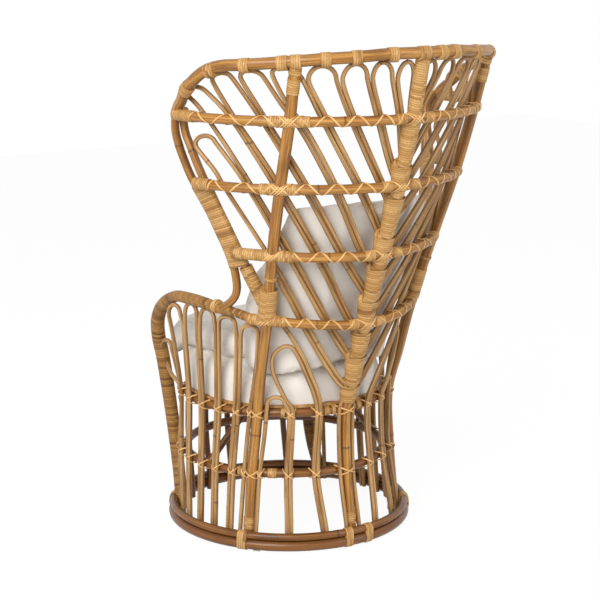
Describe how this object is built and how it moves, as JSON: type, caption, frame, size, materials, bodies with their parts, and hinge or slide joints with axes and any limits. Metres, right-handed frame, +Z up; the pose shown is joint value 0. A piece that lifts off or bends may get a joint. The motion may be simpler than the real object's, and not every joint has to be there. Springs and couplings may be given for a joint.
{
  "type": "peacock chair",
  "caption": "Rattan peacock chair with a tall flared back of nested cane loops, curved wrapped arms, a round open base and loose off-white cushions.",
  "frame": {"origin": "centre of the bounding box on the floor", "axes": "+Z up, +Y towards the back of the chair, +X towards the sitter's left"},
  "size_m": [0.8476, 0.8602, 1.2403],
  "materials": {
    "pole": "varnished rattan pole",
    "cane": "satin cane",
    "wrap": "wound cane binding",
    "fabric": "matt woven cotton",
    "glide": "matt"
  },
  "bodies": {
    "root": {"base_hoop_lower": "pole", "base_hoop_upper": "pole", "mid_hoop": "pole", "seat_hoop": "pole", "glide_rear_left": "glide", "glide_rear_right": "glide", "glide_front_left": "glide", "glide_front_right": "glide", "rim_pole": "pole", "spine_post": "pole", "spine_wrap": "wrap", "arm_pole_left": "wrap", "wing_outer_pole_left": "pole", "rear_post_left": "pole", "wing_inner_pole_left": "pole", "back_loop_1_left": "cane", "back_loop_2_left": "cane", "back_loop_3_left": "cane", "back_loop_4_left": "cane", "back_loop_5_left": "cane", "back_loop_6_left": "cane", "back_loop_7_left": "cane", "back_loop_8_left": "cane", "back_loop_9_left": "cane", "back_loop_10_left": "cane", "low_loops_left": "cane", "arm_loops_left": "cane", "arm_pole_right": "wrap", "wing_outer_pole_right": "pole", "rear_post_right": "pole", "wing_inner_pole_right": "pole", "back_loop_1_right": "cane", "back_loop_2_right": "cane", "back_loop_3_right": "cane", "back_loop_4_right": "cane", "back_loop_5_right": "cane", "back_loop_6_right": "cane", "back_loop_7_right": "cane", "back_loop_8_right": "cane", "back_loop_9_right": "cane", "back_loop_10_right": "cane", "low_loops_right": "cane", "arm_loops_right": "cane", "rail_1": "pole", "rail_2": "pole", "rail_3": "pole", "rail_4": "pole", "front_pole_1": "pole", "front_pole_2": "pole", "front_pole_3": "pole", "front_pole_4": "pole", "front_pole_5": "pole", "seat_crossbar": "pole", "seat_strut_left": "pole", "seat_strut_right": "pole", "seat_deck": "cane", "back_cushion": "fabric", "lap_cushion": "fabric", "seat_cushion": "fabric"}
  },
  "joints": []
}
